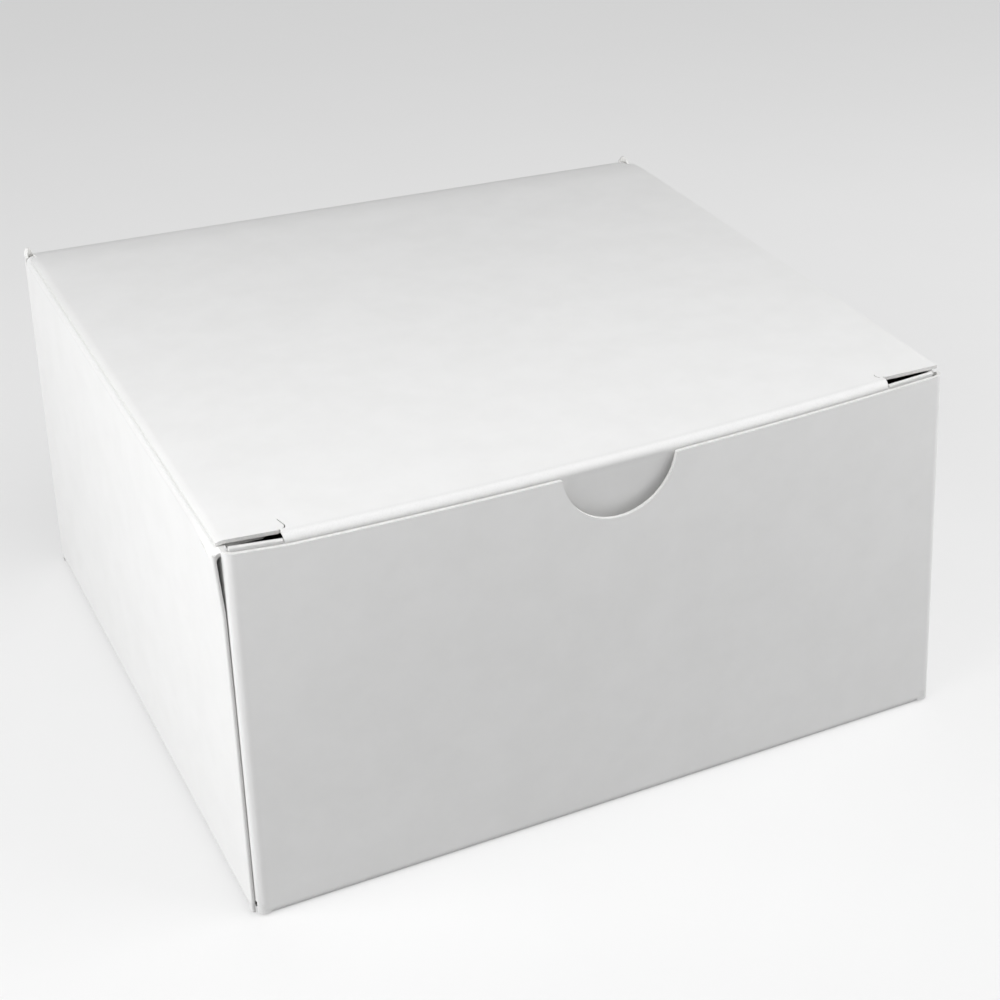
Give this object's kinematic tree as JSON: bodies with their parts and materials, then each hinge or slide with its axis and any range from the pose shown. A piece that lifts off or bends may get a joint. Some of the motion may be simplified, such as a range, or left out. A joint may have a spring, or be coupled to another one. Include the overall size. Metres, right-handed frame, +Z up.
{
  "type": "folding carton",
  "caption": "Low square white paperboard carton for a candle, with a hinged tuck-in lid, slit locks, dust flaps, a half-round thumb notch and a locking base.",
  "frame": {"origin": "middle of the base, on the surface the carton stands on", "axes": "+X to the right along the front, +Y from front to back, +Z up"},
  "size_m": [0.104, 0.1, 0.054],
  "materials": {
    "board": "matte",
    "adhesive": "satin"
  },
  "bodies": {
    "carton": {"front_panel": "board", "back_panel": "board", "left_panel": "board", "right_panel": "board", "glue_flap": "board", "lid_crease": "board", "dust_crease_left": "board", "dust_crease_right": "board", "bottom_flap_front": "board", "bottom_flap_back": "board", "bottom_flap_left": "board", "bottom_flap_right": "board", "bottom_tab_front": "board", "bottom_tab_back": "board", "glue_line": "adhesive", "bottom_glue_left": "adhesive", "bottom_glue_right": "adhesive"},
    "lid": {"lid_panel": "board", "tuck_crease": "board"},
    "tuck": {"tuck_flap": "board"},
    "dust_left": {"dust_flap_left": "board"},
    "dust_right": {"dust_flap_right": "board"}
  },
  "joints": [
    {"name": "lid_hinge", "type": "hinge", "parent": "carton", "child": "lid", "pos_m": [0, 0.0495, 0.0535], "axis": [-1, 0, 0], "range_deg": [0, 200]},
    {"name": "tuck_fold", "type": "hinge", "parent": "lid", "child": "tuck", "pos_m": [0, -0.0484, 0.0535], "axis": [-1, 0, 0], "range_deg": [0, 70]},
    {"name": "dust_fold_left", "type": "hinge", "parent": "carton", "child": "dust_left", "pos_m": [-0.0515, 0, 0.0527], "axis": [0, -1, 0], "range_deg": [0, 100]},
    {"name": "dust_fold_right", "type": "hinge", "parent": "carton", "child": "dust_right", "pos_m": [0.0515, 0, 0.0527], "axis": [0, 1, 0], "range_deg": [0, 100]}
  ],
  "couplings": [
    {"joint": "tuck_fold", "follows": "lid_hinge", "ratio": 0.35},
    {"joint": "dust_fold_left", "follows": "lid_hinge", "ratio": 0.5},
    {"joint": "dust_fold_right", "follows": "lid_hinge", "ratio": 0.5}
  ]
}
